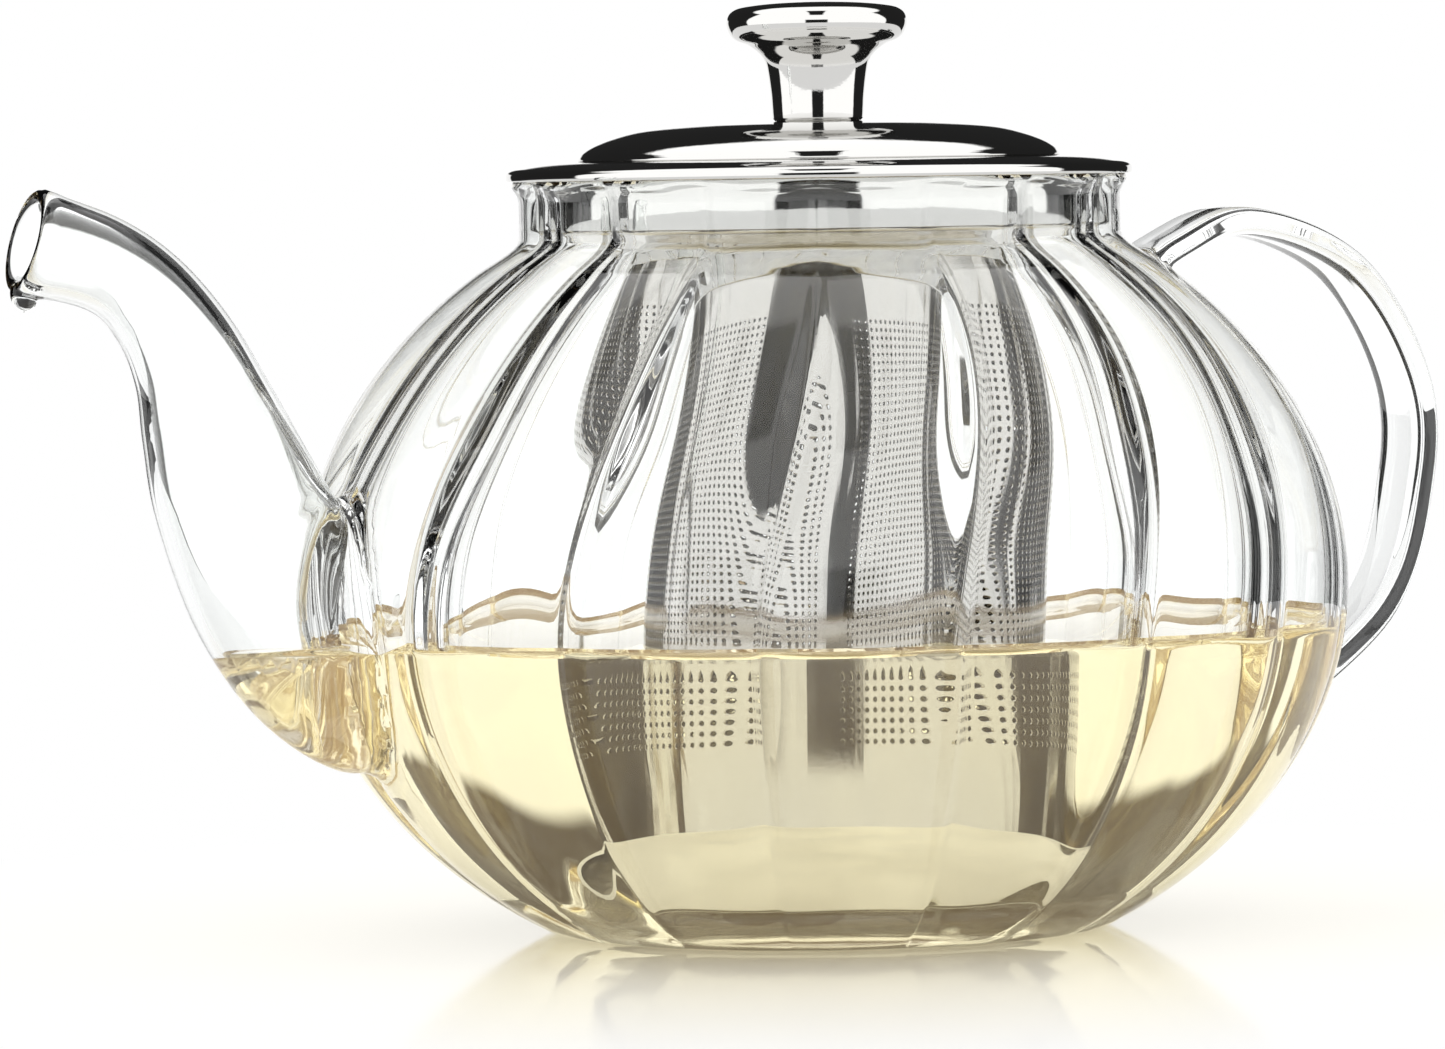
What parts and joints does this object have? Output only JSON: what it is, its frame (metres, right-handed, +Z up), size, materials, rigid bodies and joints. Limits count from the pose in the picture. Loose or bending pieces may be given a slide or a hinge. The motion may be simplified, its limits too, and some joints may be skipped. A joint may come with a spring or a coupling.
{
  "type": "glass teapot",
  "caption": "Mouth-blown ribbed glass teapot with a curved spout, ribbon handle, lift-out perforated steel infuser and polished steel lid with a turned knob.",
  "frame": {"origin": "centre of the flat resting face, on the pot's axis", "axes": "+Z up along the pot's axis, the spout points to -X and the handle to +X"},
  "size_m": [0.229, 0.1586, 0.1403],
  "materials": {
    "clear_glass": "clear, fire-polished",
    "polished_steel": "mirror polished stainless steel",
    "perforated_steel": "bright rolled perforated sheet",
    "plain_steel": "plain zinc-bright fastener"
  },
  "bodies": {
    "pot": {"bowl_lower": "clear_glass", "bowl_upper": "clear_glass", "bowl_neck": "clear_glass", "spout": "clear_glass", "handle": "clear_glass"},
    "infuser": {"infuser_brim": "polished_steel", "infuser_collar": "polished_steel", "infuser_basket": "perforated_steel", "infuser_bottom": "perforated_steel"},
    "lid": {"lid_dome": "polished_steel", "lid_skirt": "polished_steel", "knob": "polished_steel", "knob_screw": "plain_steel"}
  },
  "joints": [
    {"name": "infuser_lift", "type": "slide", "parent": "pot", "child": "infuser", "axis": [0, 0, 1], "range_m": [0, 0.12]},
    {"name": "lid_lift", "type": "slide", "parent": "infuser", "child": "lid", "axis": [0, 0, 1], "range_m": [0, 0.05]}
  ]
}
